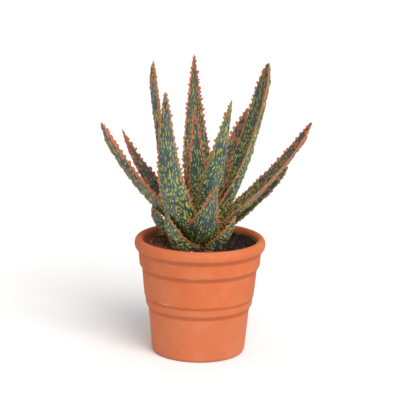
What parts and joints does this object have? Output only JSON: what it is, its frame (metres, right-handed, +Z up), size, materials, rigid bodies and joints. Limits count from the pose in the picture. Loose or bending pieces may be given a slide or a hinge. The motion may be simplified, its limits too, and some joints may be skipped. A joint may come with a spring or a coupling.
{
  "type": "potted aloe plant",
  "caption": "Spotted aloe with a rosette of toothed, tapering fleshy leaves, growing in soil in a round banded clay pot with drain holes.",
  "frame": {"origin": "centre of the pot's flat foot, on the surface that it stands on", "axes": "+Z up along the pot's axis, -Y towards the front of the plant, +X to its right"},
  "size_m": [0.1884, 0.1489, 0.2675],
  "materials": {
    "terracotta": "unglazed fired clay, matt",
    "potting_soil": "damp peat and bark compost, crumbly",
    "aloe_stem": "dull green fleshy stem",
    "aloe_leaf": "waxy blue-green skin with pale flecks and coral teeth",
    "bark": "dry bark",
    "perlite": "chalky expanded grain"
  },
  "bodies": {
    "root": {"pot": "terracotta", "soil": "potting_soil", "stem": "aloe_stem", "basal_leaf_scale": "aloe_leaf", "basal_leaf_left": "aloe_leaf", "basal_leaf_front_right": "aloe_leaf", "basal_leaf_front_left": "aloe_leaf", "basal_leaf_back": "aloe_leaf", "low_leaf_right": "aloe_leaf", "low_leaf_back_left": "aloe_leaf", "low_leaf_back_right": "aloe_leaf", "side_leaf_right": "aloe_leaf", "side_leaf_left": "aloe_leaf", "short_leaf_front": "aloe_leaf", "side_leaf_back_left": "aloe_leaf", "broad_leaf_front_left": "aloe_leaf", "narrow_leaf_back_right": "aloe_leaf", "broad_leaf_right": "aloe_leaf", "tall_leaf_left": "aloe_leaf", "upright_leaf_front_right": "aloe_leaf", "tall_leaf_back": "aloe_leaf", "heart_leaf_large": "aloe_leaf", "heart_leaf_small": "aloe_leaf", "bark_chip": "bark", "perlite_grain": "perlite"}
  },
  "joints": []
}
